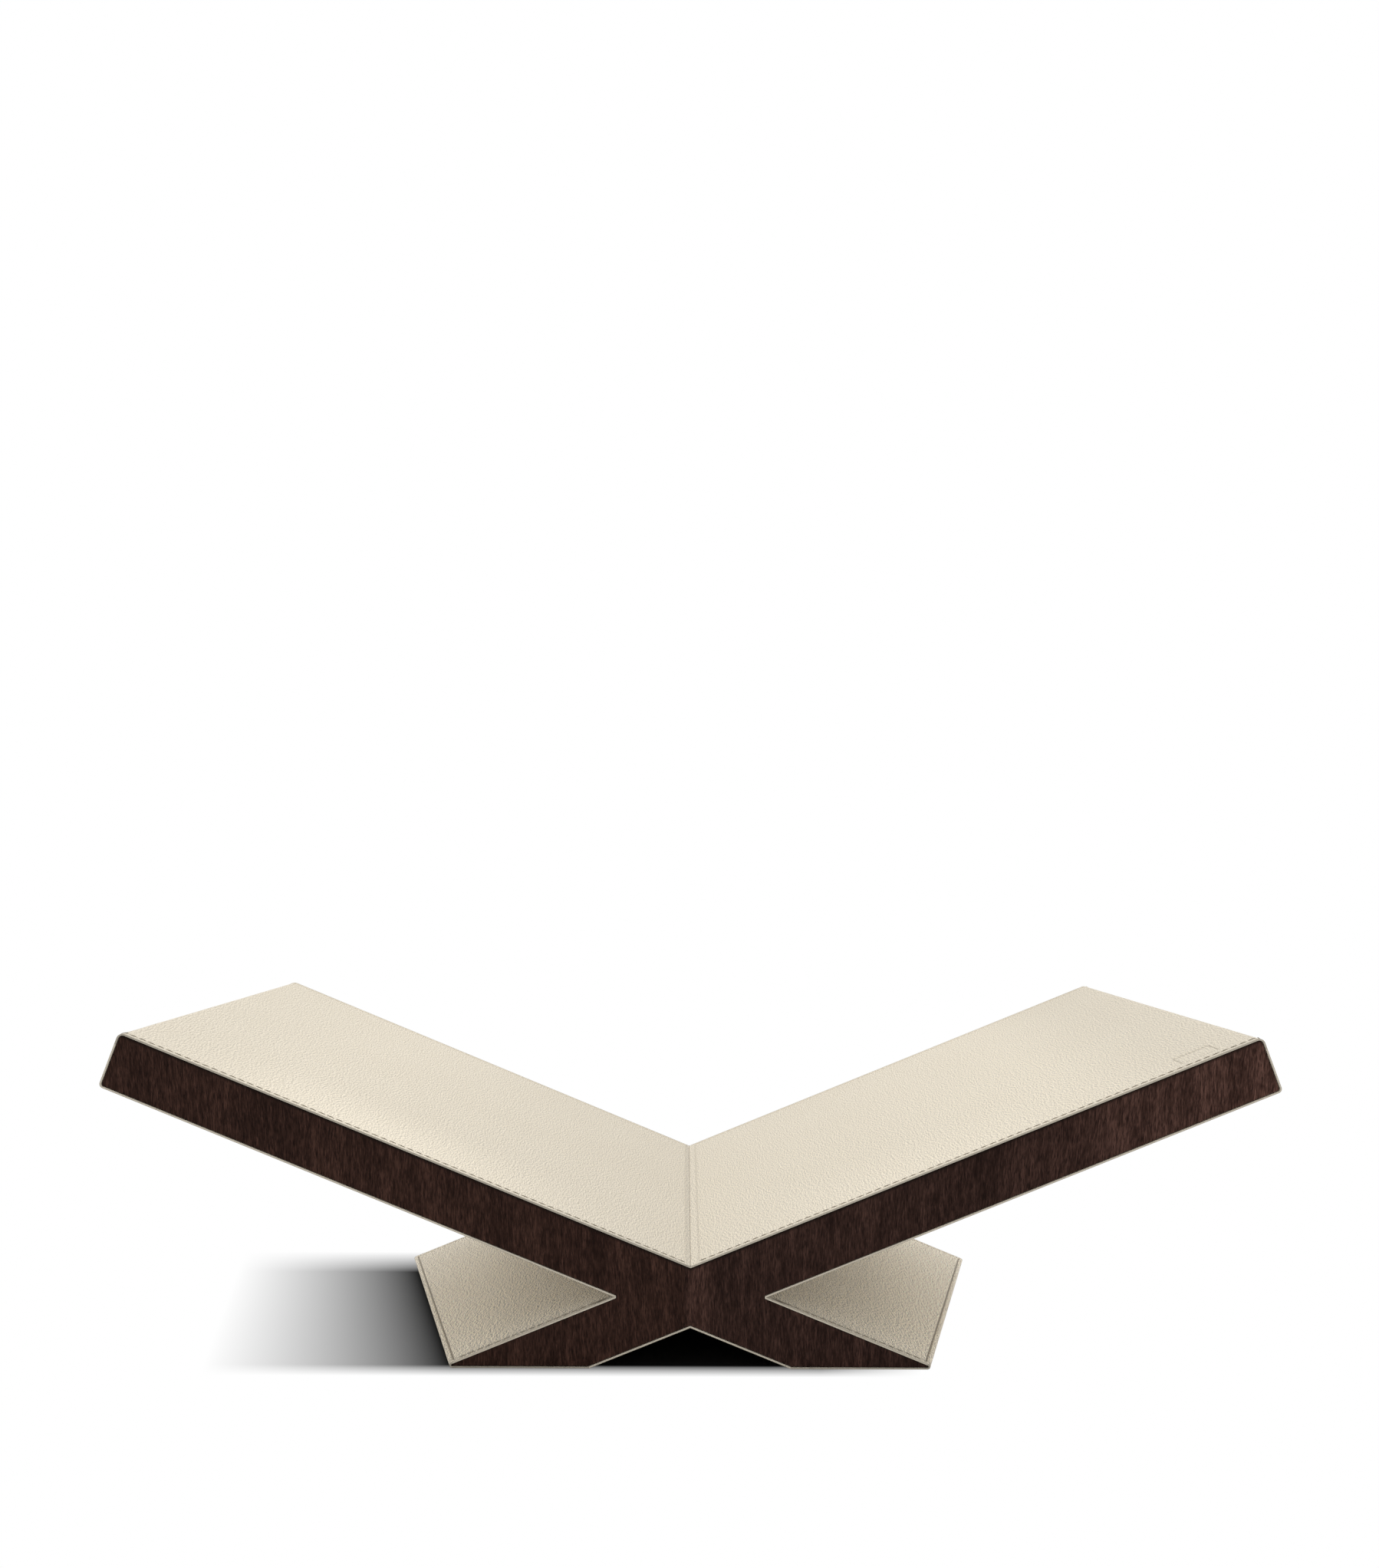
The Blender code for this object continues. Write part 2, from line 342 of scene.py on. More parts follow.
def heel_line(depth, shift):
    """The mitre at the inner corner of the right foot, moved outwards by shift."""
    inner = meet(face_line(0, False, False), sole_line(0, depth))
    outer = meet(face_line(LEATHER_COVER, False, False), sole_line(LEATHER_COVER, depth))
    along = unit(outer - inner)
    return inner + shift * left_of(along), along


def arm_path(offset, depth):
    """From the fold up the reading surface, over the arm's end and back to the notch."""
    top = face_line(offset, True, True)
    underside = face_line(offset, False, True)
    end = end_line(offset)
    return [
        (meet(top, upright_line(LEATHER_JOINT / 2)), 0),
        (meet(top, end), ARM_TOP_RADIUS + offset),
        (meet(underside, end), ARM_BOTTOM_RADIUS + offset),
        (notch_corner(underside, offset, LEATHER_JOINT / 2), 0),
    ]


def leg_path(offset, depth):
    """From the notch down the leg, round the toe and back under the foot."""
    top = face_line(offset, True, False)
    sole = sole_line(offset, depth)
    return [
        (notch_corner(top, offset, -LEATHER_JOINT / 2), 0),
        (meet(top, sole), TOE_RADIUS + offset),
        (meet(sole, heel_line(depth, LEATHER_JOINT / 2)), 0),
    ]


def under_path(offset, depth):
    """From the foot's inner corner up the underside to the middle."""
    underside = face_line(offset, False, False)
    return [
        (meet(underside, heel_line(depth, -LEATHER_JOINT / 2)), 0),
        (meet(underside, upright_line(LEATHER_JOINT / 2)), 0),
    ]


def turned_corner(corner, before, after, radius):
    """The arc at a corner: its tangent points, and points and outward directions between them.

    The middle of the arc lies on the corner's bisector, radius over the sine of half the angle away.
    Outward directions swing evenly from one tangent point to the other.
    """
    back = unit(before - corner)
    ahead = unit(after - corner)
    half = np.arccos(np.sum(back * ahead, axis=-1, keepdims=True)) / 2
    middle = corner + unit(back + ahead) * radius / np.sin(half)
    first = corner + back * radius / np.tan(half)
    last = corner + ahead * radius / np.tan(half)
    share = np.linspace(0, 1, CORNER_STEPS + 1)[1:-1, None, None]
    swing = pi - 2 * half
    start, end = (first - middle) / radius, (last - middle) / radius
    outward = (np.sin((1 - share) * swing) * start + np.sin(share * swing) * end) / np.sin(swing)
    return first, last, middle + radius * outward, outward


def stations(length, near_start, near_end, count):
    """Distances along a run: fixed ones by its two ends, and count even steps between them."""
    first, last = near_start[-1], near_end[-1]
    share = np.linspace(0, 1, count + 1)[1:-1, None]
    middle = first + share * (length - last - first)
    started = near_start[:, None] + 0 * length
    ended = length - near_end[::-1, None]
    return np.concatenate([started, middle, ended])


def section_path(path, offset, depth, runs):
    """Points, outward directions and distances along a path of the section, for each depth.

    Straight runs are sampled at the stations that runs gives for each of them, and corners with a
    radius are turned by arcs. The arrays are places along the path by depths.
    """
    shape = (len(depth), 2)
    corners = [(np.broadcast_to(point, shape), radius) for point, radius in path(offset, depth)]
    points, outwards = [], []
    start = corners[0][0]
    for i in range(1, len(corners)):
        corner, radius = corners[i]
        if radius:
            first, last, arc, arc_outward = turned_corner(corner, start, corners[i + 1][0], radius)
        else:
            first = corner
        length = np.linalg.norm(first - start, axis=-1)
        along = (first - start) / length[:, None]
        places = stations(length, *runs[i - 1])
        points.append(start + places[..., None] * along)
        outwards.append(np.broadcast_to(left_of(along), points[-1].shape))
        if radius:
            points.append(arc)
            outwards.append(arc_outward)
            start = last
    points, outwards = np.concatenate(points), np.concatenate(outwards)
    lengths = np.linalg.norm(np.diff(points, axis=0), axis=-1)
    distance = np.concatenate([np.zeros((1, len(depth))), np.cumsum(lengths, axis=0)])
    return points, outwards, distance


def pitched(across, depth, up):
    """Vectors of the section in the world, where it is pitched up towards the back."""
    y = depth * cos(READER_PITCH) - up * sin(READER_PITCH)
    z = depth * sin(READER_PITCH) + up * cos(READER_PITCH)
    return np.stack([across + 0 * y, y, z], axis=-1)


def in_stand(across, depth, up):
    """World places of points of the section."""
    return pitched(across, depth, up) + (0, FOLD_START_Y, 0)


def bell(distance, reach):
    """One at no distance, falling along a cosine to nothing at reach."""
    return 0.5 + 0.5 * np.cos(pi * np.clip(np.abs(distance) / reach, 0, 1))


def ramp(distance, reach):
    """Nothing up to zero distance, rising along a cosine to one at reach."""
    return 0.5 - 0.5 * np.cos(pi * np.clip(distance / reach, 0, 1))


def plateau(distance, length, reach):
    """One over a length, with a cosine of this reach inside each of its ends."""
    return ramp(distance, reach) * ramp(length - distance, reach)


def row_span(along, length):
    """One along a sewn row, and nothing from BULGE_REACH beyond its ends."""
    return plateau(along + BULGE_REACH, length + 2 * BULGE_REACH, BULGE_REACH)


def sewn_row(across, along, length):
    """How deep a row of stitches pulls the leather in.

    A soft hollow follows the row. In it lies a slot under each stitch, and between two stitches the
    leather stands up again. Both end with the row.
    """
    from_hole = (along / STITCH_PITCH + 0.5) % 1 - 0.5
    standing = BULGE_SHARE * bell(from_hole * STITCH_PITCH, BULGE_REACH)
    slot = EDGE_SLOT_DEPTH * bell(across, SLOT_REACH) * (1 - standing)
    return row_span(along, length) * (slot + HOLLOW_DEPTH * bell(across, HOLLOW_REACH))


def whole_stitches(length):
    """The length that whole stitches take of a row."""
    return np.floor(length / STITCH_PITCH) * STITCH_PITCH


def row_samples(place):
    """Distances across a sewn row at this place."""
    return place + SLOT_REACH * SLOT_SHARES


def ring_depths(panel):
    """Distances from the front cut edge at which the outer face of a hide is sampled.

    They are close together at the cut edges, the sewn rows and the sides of the stamped panel, and
    far apart between them.
    """
    row = row_samples(ROW_INSET)
    hollow = ROW_INSET + HOLLOW_REACH * HOLLOW_SHARES
    edge = np.concatenate([[CUT_EDGE_RADIUS, 3 * CUT_EDGE_RADIUS], row, hollow])
    whole = STAND_DEPTH + 2 * LEATHER_LIP
    loose = np.arange(2 * LOOSE_SPACING, whole - 1.5 * LOOSE_SPACING, LOOSE_SPACING)
    close = [edge, whole - edge, [LOOSE_SPACING, whole - LOOSE_SPACING]]
    if panel:
        close += [PANEL_INSET + PANEL_SIDE, PANEL_INSET + PANEL_WIDTH - PANEL_SIDE]
        loose = loose[np.abs(loose - PANEL_INSET) > PANEL_SLOPE]
    return np.unique(np.concatenate([loose, *close]).round(6))


def hide_ring(panel):
    """Depth and height of the points round a hide's thickness.

    Up the front cut edge, over its rounded corner, back across the outer face, over and down the
    back cut edge. Height is a share of the thickness.
    """
    turn = np.linspace(0, pi / 2, CUT_EDGE_STEPS)[:-1]
    corner_depth = CUT_EDGE_RADIUS * (1 - np.cos(turn))
    corner_height = 1 - CUT_EDGE_RADIUS / LEATHER_THICKNESS * (1 - np.sin(turn))
    top = ring_depths(panel)
    whole = STAND_DEPTH + 2 * LEATHER_LIP
    depth = np.concatenate([[0], corner_depth, top, whole - corner_depth[::-1], [whole]])
    height = np.concatenate([[0], corner_height, 0 * top + 1, corner_height[::-1], [0]])
    return depth - LEATHER_LIP, height


def new_piece(name, points, faces, material, smooth_angle=SMOOTH_ANGLE):
    """A mesh piece with its place in its mesh, shaded smooth but for its sharp edges."""
    mesh = bpy.data.meshes.new(name)
    mesh.from_pydata(points.reshape(-1, 3), [], faces)
    mesh.materials.append(material)
    mesh.shade_smooth()
    mesh.set_sharp_from_angle(angle=smooth_angle)
    piece = bpy.data.objects.new(name, mesh)
    bpy.context.collection.objects.link(piece)
    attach(piece, "root")
    return piece


def grid_faces(columns, rows, side):
    """Quads of a grid whose rows close into rings, and a face over each end, pointing outwards."""
    column, row = np.meshgrid(np.arange(columns - 1), np.arange(rows), indexing="ij")
    beyond = (row + 1) % rows
    quads = np.stack([
        column * rows + row, (column + 1) * rows + row,
        (column + 1) * rows + beyond, column * rows + beyond,
    ], axis=-1).reshape(-1, 4)
    ends = [np.arange(rows), np.arange(rows)[::-1] + (columns - 1) * rows]
    faces = [*quads.tolist(), *(end.tolist() for end in ends)]
    return faces if side == RIGHT else [face[::-1] for face in faces]


def write_values(piece, name, values):
    """An attribute of a piece: a number or a vector for each point of its mesh."""
    vector = values.ndim > 1 and values.shape[-1] == 3
    made = piece.data.attributes.new(name, "FLOAT_VECTOR" if vector else "FLOAT", "POINT")
    made.data.foreach_set("vector" if vector else "value", np.ascontiguousarray(values).ravel())


def hide(name, side, path, runs, dips, material, tone, panel=False, notch=None):
    """A leather hide: a closed shell between its glued face and its outer face.

    A point of it is the glued face's point plus height times the thickness there, less the dip of
    the outer face along its outward direction. In the notch the glued face turns down the blunt end
    of the wood to the joint. Its attributes say how deep the sewing is, how far in from the corner of
    the cut edge a point lies (less than nothing down the cut edge), how much painted light and shade
    the leather gets as its tone, and where the point lies on the unrolled hide.
    """
    depth, height = hide_ring(panel)
    outer, outward, distance = section_path(path, LEATHER_COVER, depth, runs)
    inner, _, _ = section_path(path, GLUE_LINE, depth, runs)
    if notch:
        column, above = notch
        inner[column] = meet(level_line(CROSSING_HEIGHT + above), notch_line(GLUE_LINE))
    from_front = depth + LEATHER_LIP
    sewn, pressed = (part * (height == 1) for part in dips(distance, from_front, side))
    dip = np.maximum(sewn, pressed)
    section = inner + height[:, None] * (outer - inner) - dip[..., None] * outward
    points = in_stand(side * section[..., 0], depth, section[..., 1])
    columns, rows = points.shape[:2]
    piece = new_piece(name, points, grid_faces(columns, rows, side), material)
    write_values(piece, "sunk", (sewn / TOE_GROOVE_DEPTH).reshape(-1))
    inward = np.minimum(from_front, STAND_DEPTH + 2 * LEATHER_LIP - from_front)
    from_corner = np.where(height == 1, inward, (height - 1) * LEATHER_THICKNESS)
    write_values(piece, "from_corner", np.broadcast_to(from_corner, dip.shape).reshape(-1))
    # Painted light and shade of the hide, kept in its tone attribute
    painted_face_light, painted_cut_light = tone(distance, from_front, side)
    light = np.where(height == 1, painted_face_light, painted_cut_light)
    write_values(piece, "tone", light.reshape(-1))
    none = 0 * distance
    flat = [distance + GRAIN_STARTS[side], from_front + none, height * LEATHER_THICKNESS + none]
    write_values(piece, "unrolled", np.stack(flat, axis=-1).reshape(-1, 3))
    return piece


def finish(name):
    """A new node material: its tree and its shader."""
    material = bpy.data.materials.new(name)
    material.use_nodes = True
    return material, material.node_tree, material.node_tree.nodes["Principled BSDF"]


def feed(tree, node, inputs):
    """Set each of these inputs of a node to a value, or link it to a socket."""
    for key, value in inputs.items():
        if isinstance(value, bpy.types.NodeSocket):
            tree.links.new(value, node.inputs[key])
        else:
            node.inputs[key].default_value = value


def add_node(tree, kind, inputs=None, **settings):
    """A new node with these settings and inputs."""
    made = tree.nodes.new(kind)
    for name, value in settings.items():
        setattr(made, name, value)
    feed(tree, made, inputs or {})
    return made


def calculate(tree, operation, *values):
    """The result of a Math node."""
    return add_node(tree, "ShaderNodeMath", dict(enumerate(values)), operation=operation).outputs[0]


def spread(tree, value, low, high, to_low=0.0, to_high=1.0):
    """A value from low to high, mapped evenly and clamped to another range."""
    inputs = {"Value": value, "From Min": low, "From Max": high, "To Min": to_low, "To Max": to_high}
    return add_node(tree, "ShaderNodeMapRange", inputs).outputs["Result"]


def blend_colour(tree, share, first, second, blend_type="MIX"):
    """Two colours mixed by a share. The colours are inputs 6 and 7 and output 2 of a Mix node."""
    inputs = {0: share, 6: first, 7: second}
    return add_node(tree, "ShaderNodeMix", inputs, data_type="RGBA", blend_type=blend_type).outputs[2]


def scale_colour(tree, colour, factor):
    """A colour made lighter or darker by a factor."""
    inputs = {0: colour, "Scale": factor}
    return add_node(tree, "ShaderNodeVectorMath", inputs, operation="SCALE").outputs["Vector"]


def bump_normal(tree, height, distance):
    """The normal of a relief, whose height of 1 stands for a distance."""
    inputs = {"Height": height, "Strength": 1.0, "Distance": distance}
    return add_node(tree, "ShaderNodeBump", inputs).outputs["Normal"]


def noise(tree, place, scale, detail=2.0, crinkle=0.5, shift=(0, 0, 0)):
    """Noise from 0 to 1, at a scale for each axis. Crinkle is how strong its fine part is."""
    inputs = {"Vector": place, "Scale": scale, "Location": shift}
    scaled = add_node(tree, "ShaderNodeMapping", inputs).outputs["Vector"]
    inputs = {"Vector": scaled, "Scale": 1.0, "Detail": detail, "Roughness": crinkle}
    return add_node(tree, "ShaderNodeTexNoise", inputs).outputs["Fac"]


def leather_grain(tree, place, scale):
    """Relief of the grain from 0 to 1: a coarse noise drawn out along the depth, and a finer one."""
    coarse = noise(tree, place, scale, crinkle=COARSE_CRINKLE)
    fine = noise(tree, place, FINE_GRAIN_SCALE, crinkle=FINE_CRINKLE)
    finer = calculate(tree, "SUBTRACT", fine, coarse)
    return calculate(tree, "MULTIPLY_ADD", finer, FINE_GRAIN_SHARE, coarse)


def cream_leather(name, grain_scale, relief_depth, shade):
    """Cream calf leather, its grain on the unrolled hide.

    The colour is a slow cloud of two creams, with painted light and shade on the grain: darker on one
    flank of each ripple and paler on the other, by how far the relief falls over a short step.
    Painted shade makes it dark where the sewing pulls the leather in. Over the cut edge and its
    corner lies a darker dressing with a thin line in it. All is scaled by the tone, which is painted
    light and shade.
    """
    material, tree, shader = finish(name)
    place = add_node(tree, "ShaderNodeAttribute", attribute_name="unrolled").outputs["Vector"]
    stepped = {0: place, 1: GRAIN_STEP}
    aside = add_node(tree, "ShaderNodeVectorMath", stepped, operation="ADD").outputs["Vector"]
    relief = leather_grain(tree, place, grain_scale)
    # Painted light and shade: a ripple's flank is paler or darker by how far the relief falls
    fall = calculate(tree, "SUBTRACT", relief, leather_grain(tree, aside, grain_scale))
    flank = spread(tree, fall, -GRAIN_SHADE_REACH, GRAIN_SHADE_REACH, 1 + shade, 1 - shade)
    cloud = noise(tree, place, LEATHER_CLOUD_SCALE, detail=3.0)
    colour = scale_colour(tree, blend_colour(tree, cloud, LEATHER_WARM, LEATHER_PALE), flank)
    sunk, from_corner, tone = (
        add_node(tree, "ShaderNodeAttribute", attribute_name=kept).outputs["Fac"]
        for kept in ("sunk", "from_corner", "tone"))
    # Painted shade where the sewing pulls the leather in
    colour = blend_colour(tree, spread(tree, sunk, *SUNK_SPAN, 0.0, SUNK_SHARE), colour, LEATHER_SUNK_SHADE)
    colour = blend_colour(tree, spread(tree, from_corner, *CUT_FADE), LEATHER_CUT, colour)
    from_line = calculate(tree, "ABSOLUTE", calculate(tree, "SUBTRACT", from_corner, CUT_LINE_PLACE))
    on_line = spread(tree, from_line, 0.0, CUT_LINE_REACH, 1.0, 0.0)
    colour = blend_colour(tree, on_line, colour, LEATHER_CUT_LINE)
    # The tone scales the colour by the painted light and shade
    feed(tree, shader, {
        "Base Color": scale_colour(tree, colour, tone),
        "Roughness": spread(tree, relief, *NOISE_SPAN, *LEATHER_ROUGHNESS),
        "Specular IOR Level": LEATHER_SPECULAR,
        "Normal": bump_normal(tree, relief, relief_depth),
    })
    return material


def sewing_thread(name, dark, light):
    """Waxed linen thread, its twist across it."""
    material, tree, shader = finish(name)
    place = add_node(tree, "ShaderNodeTexCoord").outputs["Object"]
    twist = noise(tree, place, THREAD_TWIST_SCALE, detail=1.0)
    feed(tree, shader, {
        "Base Color": blend_colour(tree, spread(tree, twist, *NOISE_SPAN), dark, light),
        "Roughness": THREAD_ROUGHNESS,
        "Normal": bump_normal(tree, twist, THREAD_RELIEF),
    })
    return material


def walnut_grain(tree, place, seed):
    """Colour, fibre and pores of upright walnut grain.

    Across the face the place is shifted by lean times height, so that the grain leans a little to
    either side. Fine fibres, broader bands and pores are noises drawn out along the grain.
    """
    across, depth, up = add_node(tree, "ShaderNodeSeparateXYZ", {"Vector": place}).outputs
    wave = noise(tree, place, WALNUT_LEAN_SCALE, detail=1.0, shift=(seed, 0, 0))
    lean = spread(tree, wave, *WALNUT_LEAN_SPAN, -WALNUT_LEAN, WALNUT_LEAN)
    bend = calculate(tree, "MULTIPLY", lean, up)
    shifted = calculate(tree, "ADD", calculate(tree, "ADD", across, bend), seed)
    grain = add_node(tree, "ShaderNodeCombineXYZ", {"X": shifted, "Y": depth, "Z": up}).outputs[0]
    fibre = noise(tree, grain, WALNUT_FIBRE_SCALE, detail=3.0, crinkle=FIBRE_CRINKLE)
    band = noise(tree, grain, WALNUT_BAND_SCALE, detail=3.0, crinkle=BAND_CRINKLE)
    figure = noise(tree, grain, WALNUT_FIGURE_SCALE)
    pore = noise(tree, grain, WALNUT_PORE_SCALE, detail=1.0)
    pore_depth = spread(tree, pore, *WALNUT_PORE_SPAN)
    light = calculate(tree, "MULTIPLY", fibre, WALNUT_FIBRE_SHARE)
    light = calculate(tree, "MULTIPLY_ADD", band, WALNUT_BAND_SHARE, light)
    light = calculate(tree, "MULTIPLY_ADD", figure, WALNUT_FIGURE_SHARE, light)
    ramp_node = add_node(tree, "ShaderNodeValToRGB", {"Fac": light})
    stops = ramp_node.color_ramp.elements
    stops[0].position, stops[0].color = WALNUT_DARK_STOP, WALNUT_DARK
    stops[1].position, stops[1].color = WALNUT_LIGHT_STOP, WALNUT_LIGHT
    middle = stops.new(WALNUT_MIDDLE_STOP)
    middle.color = WALNUT_MIDDLE
    in_pore = calculate(tree, "MULTIPLY", pore_depth, WALNUT_PORE_SHARE)
    return blend_colour(tree, in_pore, ramp_node.outputs["Color"], WALNUT_PORE), fibre, pore_depth


def lip_shadow_share(tree, outwards, up):
    """From nothing to one over the rim by an arm's upper face, from the height over its middle line."""
    raised = calculate(tree, "MULTIPLY", up, 1 / cos(READER_PITCH))
    raised = calculate(tree, "SUBTRACT", raised, CROSSING_HEIGHT)
    raised = calculate(tree, "MULTIPLY", raised, cos(BOARD_SLOPE))
    from_middle = calculate(tree, "MULTIPLY_ADD", outwards, -sin(BOARD_SLOPE), raised)
    return spread(tree, from_middle, LIP_SHADOW_START, BOARD_THICKNESS / 2)


def walnut(name, seed, tone, stripe, end_gain, front):
    """Dark oiled walnut veneer.

    One stripe and the outer end of the face are lighter or darker by a gain; at the front right
    facing's end this is partly the veneer's own tone and partly a painted sheen. A front face (front
    is 1, or else 0) has a painted shadow along its top rim, under the leather's lip.
    """
    material, tree, shader = finish(name)
    place = add_node(tree, "ShaderNodeTexCoord").outputs["Object"]
    across, _, up = add_node(tree, "ShaderNodeSeparateXYZ", {"Vector": place}).outputs
    outwards = calculate(tree, "ABSOLUTE", across)
    colour, fibre, pore_depth = walnut_grain(tree, place, seed)
    colour = blend_colour(tree, 1.0, colour, tone, "MULTIPLY")
    # Painted shadow along the front faces' top rims, under the leather's lip
    rim = calculate(tree, "MULTIPLY", lip_shadow_share(tree, outwards, up), front)
    colour = blend_colour(tree, rim, colour, WALNUT_LIP_SHADOW)
    stripe_place, stripe_reach, stripe_gain = stripe
    from_stripe = calculate(tree, "ABSOLUTE", calculate(tree, "SUBTRACT", across, stripe_place))
    end = spread(tree, outwards, LIGHT_END_START, LIGHT_END_START + LIGHT_END_REACH, 1.0, 1 + end_gain)
    in_stripe = spread(tree, from_stripe, 0.0, stripe_reach, 1 + stripe_gain, 1.0)
    colour = scale_colour(tree, colour, calculate(tree, "MULTIPLY", end, in_stripe))
    raised_fibre = calculate(tree, "MULTIPLY", fibre, WALNUT_RELIEF_SHARE)
    height = calculate(tree, "SUBTRACT", raised_fibre, pore_depth)
    feed(tree, shader, {
        "Base Color": colour,
        "Roughness": spread(tree, fibre, *WALNUT_ROUGHNESS_SPAN, *WALNUT_ROUGHNESS),
        "Specular IOR Level": WALNUT_SPECULAR,
        "Normal": bump_normal(tree, height, WALNUT_RELIEF),
    })
    return material


def core_wood():
    """Plain pale wood of the boards, its grain along them."""
    material, tree, shader = finish("core_wood")
    place = add_node(tree, "ShaderNodeTexCoord").outputs["Object"]
    grain = noise(tree, place, CORE_SCALE, detail=3.0)
    colour = blend_colour(tree, spread(tree, grain, *NOISE_SPAN), CORE_DARK, CORE_LIGHT)
    feed(tree, shader, {"Base Color": colour, "Roughness": CORE_ROUGHNESS})
    return material


def joint_samples(extra=()):
    """Distances from a joint at which a hide's rolled edge is sampled, and further ones."""
    return np.unique(np.concatenate([JOINT_ROLL * np.array(JOINT_ROLL_SHARES), *extra]).round(7))


def steps(length):
    """How many stations a run of this length has."""
    return int(length / STATION_SPACING)


def panel_samples():
    """Distances from the reading surface's end across the stamped panel, close at its sides."""
    corners = arm_path(LEATHER_COVER, np.zeros(1))
    to_start = np.linalg.norm(corners[1][0] - corners[0][0]) - corners[1][1] - PANEL_START
    even = np.arange(0, to_start, STATION_SPACING)
    sides = [to_start - PANEL_LENGTH + PANEL_SIDE, to_start - PANEL_SIDE]
    return np.unique(np.concatenate([even, *sides]).round(6))


def arm_runs(side):
    """Stations of an arm's hide on its reading surface, its end and its underside."""
    plain = np.zeros(1)
    near_fold = joint_samples([row_samples(FOLD_ROW_PLACES[side])])
    near_end = panel_samples() if side == RIGHT else plain
    return [
        (near_fold, near_end, steps(ARM_REACH - near_end[-1])),
        (plain, plain, steps(BOARD_THICKNESS)),
        (plain, joint_samples(), steps(ARM_REACH)),
    ]


def leg_runs(side):
    """Stations of a leg's hide on its top and under its foot."""
    near_toe = np.concatenate([np.zeros(1), row_samples(TOE_ROW_INSET)])
    return [
        (joint_samples(), near_toe, steps(leg_top_length(STAND_DEPTH))),
        (np.zeros(1), joint_samples(), SOLE_STEPS),
    ]


def under_runs(side):
    """Stations of the hide under the crossing."""
    return [(joint_samples(), joint_samples(), steps(leg_top_length(STAND_DEPTH)))]


def joint_dip(distance):
    """The rolled edges of a hide at its two joints: a quarter circle of JOINT_ROLL."""
    nearest = np.minimum(distance, distance[-1] - distance)
    inward = np.clip(1 - nearest / JOINT_ROLL, 0, 1)
    return JOINT_ROLL * (1 - np.sqrt(1 - inward ** 2))


def groove(across, along, deep):
    """A continuous sewn groove back along the depth, with its threads in it."""
    sunk = deep * bell(across, SLOT_REACH) + HOLLOW_DEPTH * bell(across, HOLLOW_REACH)
    return row_span(along, DEPTH_ROW_LENGTH) * sunk


def edge_dips(distance, from_front, start, length):
    """How deep both long edges of a hide are sewn."""
    from_edge = np.minimum(from_front, STAND_DEPTH + 2 * LEATHER_LIP - from_front)
    return sewn_row(from_edge - ROW_INSET, distance - start, length)


def waviness(distance, from_front):
    """The slight unevenness of a glued hide: a slow wave along it and a quick one across it."""
    along = distance / WAVE_LENGTH
    across = from_front / WAVE_LENGTH
    slow = np.sin(along + SLOW_BEND * np.sin(across * SLOW_RATIO))
    quick = np.sin(across * QUICK_RATIO + QUICK_BEND * np.sin(along * CROSS_RATIO + 1))
    return WAVE_DEPTH * (2 + slow + quick) / 4


def arm_dips(distance, from_front, side):
    """An arm's hide: edges, the groove by the fold, rolled joints and, on the right, a blank panel.

    The panel's outline counts as sewn halfway down its sides, so that the painted shade of the sewing
    draws it as a thin darker line.
    """
    start = FOLD_ROW_PLACES[side]
    sewn = edge_dips(distance, from_front, start, arm_row_length(side))
    sewn = np.maximum(sewn, groove(distance - start, from_front - ROW_INSET, FOLD_GROOVE_DEPTH))
    pressed = joint_dip(distance)
    if side == RIGHT:
        share = plateau(distance - PANEL_START, PANEL_LENGTH, PANEL_SLOPE)
        share = share * plateau(from_front - PANEL_INSET, PANEL_WIDTH, PANEL_SLOPE)
        pressed = pressed + PANEL_DEPTH * share
        sewn = np.maximum(sewn, 4 * PANEL_LINE * share * (1 - share))
    return sewn, pressed + waviness(distance, from_front)


def leg_dips(distance, from_front, side):
    """A leg's hide: edges, a pinch where the front row starts, a groove by the toe, a plain sole."""
    top_length = leg_top_length(from_front - LEATHER_LIP)
    groove_place = top_length - TOE_ROW_INSET
    sewn = edge_dips(distance, from_front, NOTCH_ROW_END, groove_place - NOTCH_ROW_END)
    sewn = np.maximum(sewn, groove(distance - groove_place, from_front - ROW_INSET, TOE_GROOVE_DEPTH))
    pinch = bell(distance - PINCH_PLACE, PINCH_REACH) * bell(from_front - ROW_INSET, PINCH_WIDTH)
    return np.maximum(sewn, PINCH_DEPTH * pinch), joint_dip(distance)


def under_dips(distance, from_front, side):
    """The hide under the crossing: edges and rolled joints."""
    length = whole_stitches(distance[-1] - 2 * NOTCH_ROW_END)
    return edge_dips(distance, from_front, NOTCH_ROW_END, length), joint_dip(distance)


def arm_painted_shading(distance, from_front, side):
    """How light an arm's hide is, on its outer face and on its cut edges.

    A painted sheen patch is a bell along the arm times a bell back from the front edge. Painted shade
    makes the arm darker towards its end and towards the fold, and most of all between the fold and
    its groove, and darker on the left arm's cut edge by the reading surface; the cut edges beyond
    that get painted light.
    """
    place, reach, gain = PAINTED_SHEEN_PATCHES[side]
    # Painted sheen at the front; painted shade towards the end, the valley and the fold
    sheen = gain * bell(distance - place, reach) * bell(from_front, SHEEN_PATCH_DEPTH)
    end = END_SHADES[side] * ramp(distance - END_SHADE_START, END_SHADE_REACH)
    valley = VALLEY_SHADES[side] * bell(distance, VALLEY_REACH)
    fold = FOLD_SHADES[side] * ramp(FOLD_ROW_PLACES[side] - distance, FOLD_SHADE_REACH)
    face = 1 + sheen - end - valley - fold
    return face, np.where(distance < ARM_REACH, ARM_CUT_SHADE_FACTORS[side], LOW_CUT_LIGHT_FACTOR)


